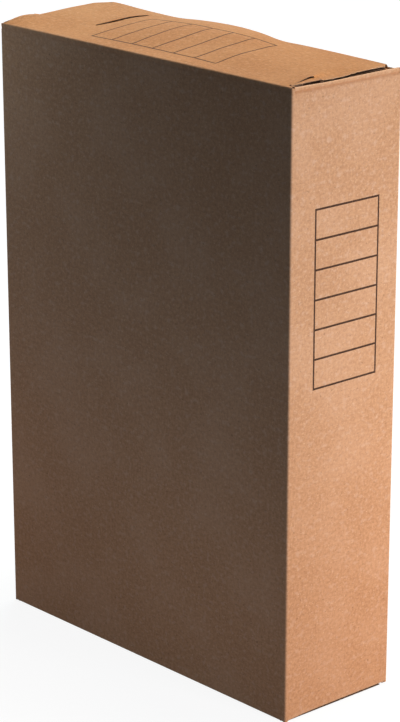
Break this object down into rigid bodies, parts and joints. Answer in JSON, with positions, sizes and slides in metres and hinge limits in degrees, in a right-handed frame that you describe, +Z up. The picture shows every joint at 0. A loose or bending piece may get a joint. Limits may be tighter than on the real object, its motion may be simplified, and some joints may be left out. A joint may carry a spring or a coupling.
{
  "type": "archive file box",
  "caption": "Upright archive box folded from thin corrugated kraft board, with a crowned tuck-in lid hinged on one long side, dust flaps under it and a closed bottom.",
  "frame": {"origin": "centre of the box's footprint, at the surface it stands on", "axes": "+X along the long side towards the narrow spine face, +Y across the narrow side towards the side where the lid tucks in, +Z up"},
  "size_m": [0.24, 0.08, 0.3613],
  "materials": {
    "kraft_board": "matte",
    "glue": "satin"
  },
  "bodies": {
    "case": {"front_panel": "kraft_board", "back_panel": "kraft_board", "spine_panel": "kraft_board", "rear_panel": "kraft_board", "front_spine_crease": "kraft_board", "back_spine_crease": "kraft_board", "front_rear_crease": "kraft_board", "glue_flap_crease": "kraft_board", "glue_flap": "kraft_board", "lid_crease": "kraft_board", "spine_dust_crease": "kraft_board", "rear_dust_crease": "kraft_board", "bottom_crease": "kraft_board", "bottom_panel": "kraft_board", "bottom_tuck_crease": "kraft_board", "bottom_tuck_flap": "kraft_board", "bottom_spine_crease": "kraft_board", "bottom_spine_flap": "kraft_board", "bottom_rear_crease": "kraft_board", "bottom_rear_flap": "kraft_board", "seam_glue": "glue", "bottom_spine_glue": "glue", "bottom_rear_glue": "glue"},
    "lid": {"lid_panel": "kraft_board", "lid_tuck_crease": "kraft_board"},
    "tuck_flap": {"lid_tuck_flap": "kraft_board"},
    "spine_dust": {"spine_dust_flap": "kraft_board"},
    "rear_dust": {"rear_dust_flap": "kraft_board"}
  },
  "joints": [
    {"name": "lid_hinge", "type": "hinge", "parent": "case", "child": "lid", "pos_m": [0, -0.04, 0.355], "axis": [1, 0, 0], "range_deg": [0, 250]},
    {"name": "tuck_fold", "type": "hinge", "parent": "lid", "child": "tuck_flap", "pos_m": [0, 0.03902, 0.35835], "axis": [1, 0.0004, -0.0098], "range_deg": [0, 50]},
    {"name": "spine_dust_hinge", "type": "hinge", "parent": "case", "child": "spine_dust", "pos_m": [0.12, 0, 0.355], "axis": [0, 1, 0], "range_deg": [0, 90]},
    {"name": "rear_dust_hinge", "type": "hinge", "parent": "case", "child": "rear_dust", "pos_m": [-0.12, 0, 0.355], "axis": [0, -1, 0], "range_deg": [0, 90]}
  ],
  "couplings": [
    {"joint": "tuck_fold", "follows": "lid_hinge", "ratio": 0.2},
    {"joint": "spine_dust_hinge", "follows": "lid_hinge", "ratio": 0.36},
    {"joint": "rear_dust_hinge", "follows": "lid_hinge", "ratio": 0.36}
  ]
}
